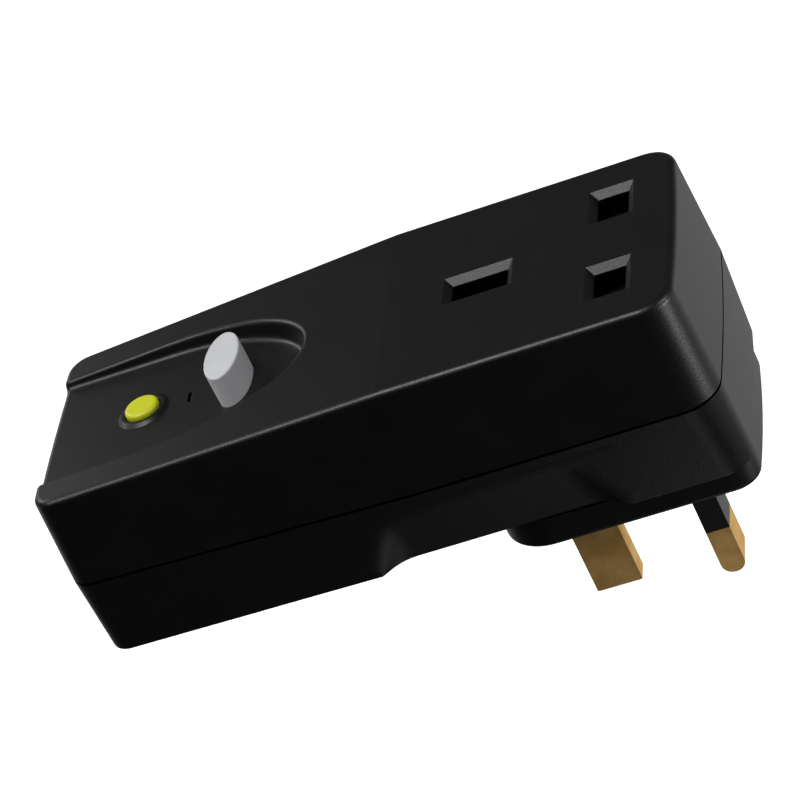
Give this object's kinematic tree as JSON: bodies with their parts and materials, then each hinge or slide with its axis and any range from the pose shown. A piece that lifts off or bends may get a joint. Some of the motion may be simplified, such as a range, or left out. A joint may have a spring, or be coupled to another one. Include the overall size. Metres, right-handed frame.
{
  "type": "rcd adapter plug",
  "caption": "Plug-in residual current adaptor: three-pin plug boss behind, shuttered socket and a recessed panel with test and reset buttons in front.",
  "frame": {"origin": "on the plug face, midway between the line and neutral pins", "axes": "+X along the housing towards the socket end, +Y across it towards the line pin, +Z out of the front face with the socket and buttons"},
  "size_m": [0.1123, 0.049, 0.0642],
  "materials": {
    "housing": "fine moulded texture",
    "test_button": "satin",
    "reset_button": "satin",
    "sleeve": "satin",
    "brass": "drawn",
    "copper": "bright",
    "screw": "plated",
    "plated_steel": "plated",
    "spring_steel": "bright",
    "natural_plastic": "satin",
    "dark_plastic": "satin",
    "shutter": "satin",
    "ferrite": "matt",
    "enamel_wire": "wound, lacquered",
    "board": "solder resist",
    "chip": "matt",
    "capacitor": "gloss",
    "varistor": "gloss",
    "resistor": "gloss",
    "lead_brown": "satin",
    "lead_blue": "satin"
  },
  "bodies": {
    "housing": {"front_shell": "housing", "rear_shell": "housing", "housing_screws": "screw", "reset_spring": "spring_steel", "chassis": "dark_plastic", "test_leaf": "spring_steel", "test_stud": "brass", "line_pin": "brass", "neutral_pin": "brass", "line_sleeve": "sleeve", "neutral_sleeve": "sleeve", "line_supply_bar": "copper", "neutral_supply_bar": "copper", "line_load_terminal": "copper", "neutral_load_terminal": "copper", "line_contact": "brass", "neutral_contact": "brass", "line_lead": "lead_brown", "neutral_lead": "lead_blue", "earth_pin": "brass", "earth_contact": "brass", "contact_block": "natural_plastic", "shutter_spring": "spring_steel", "transformer_core": "ferrite", "transformer_winding": "enamel_wire", "circuit_board": "board", "board_screws": "screw", "solenoid_yoke": "plated_steel", "solenoid_bobbin": "natural_plastic", "solenoid_coil": "enamel_wire", "plunger_spring": "spring_steel", "latch_bracket": "plated_steel", "latch_pin": "plated_steel", "trip_chip": "chip", "capacitor": "capacitor", "varistor": "varistor", "diodes": "chip", "resistors": "resistor"},
    "test_press": {"test_button": "test_button"},
    "reset_press": {"reset_button": "reset_button", "contact_carrier": "natural_plastic", "line_bridge": "copper", "neutral_bridge": "copper"},
    "shutter_body": {"shutter": "shutter"},
    "plunger_body": {"plunger": "plated_steel"},
    "latch_body": {"latch_lever": "plated_steel"}
  },
  "joints": [
    {"name": "test_press", "type": "slide", "parent": "housing", "child": "test_press", "axis": [0, 0, -1], "range_m": [0, 0.001], "stiffness_N_per_m": 600, "deforming": ["test_leaf"]},
    {"name": "reset_press", "type": "slide", "parent": "housing", "child": "reset_press", "axis": [0, 0, -1], "range_m": [0, 0.003], "stiffness_N_per_m": 800, "deforming": ["reset_spring"]},
    {"name": "shutter_slide", "type": "slide", "parent": "housing", "child": "shutter_body", "axis": [-1, 0, 0], "range_m": [0, 0.006], "stiffness_N_per_m": 120, "deforming": ["shutter_spring"]},
    {"name": "plunger_slide", "type": "slide", "parent": "housing", "child": "plunger_body", "axis": [-1, 0, 0], "range_m": [0, 0.0008], "stiffness_N_per_m": 300, "deforming": ["plunger_spring"]},
    {"name": "latch_turn", "type": "hinge", "parent": "housing", "child": "latch_body", "pos_m": [-0.0748, 0, 0.0143], "axis": [0, -1, 0], "range_deg": [0, 11.7]}
  ],
  "couplings": [
    {"joint": "latch_turn", "follows": "plunger_slide", "rad_per_m": 253.2}
  ]
}
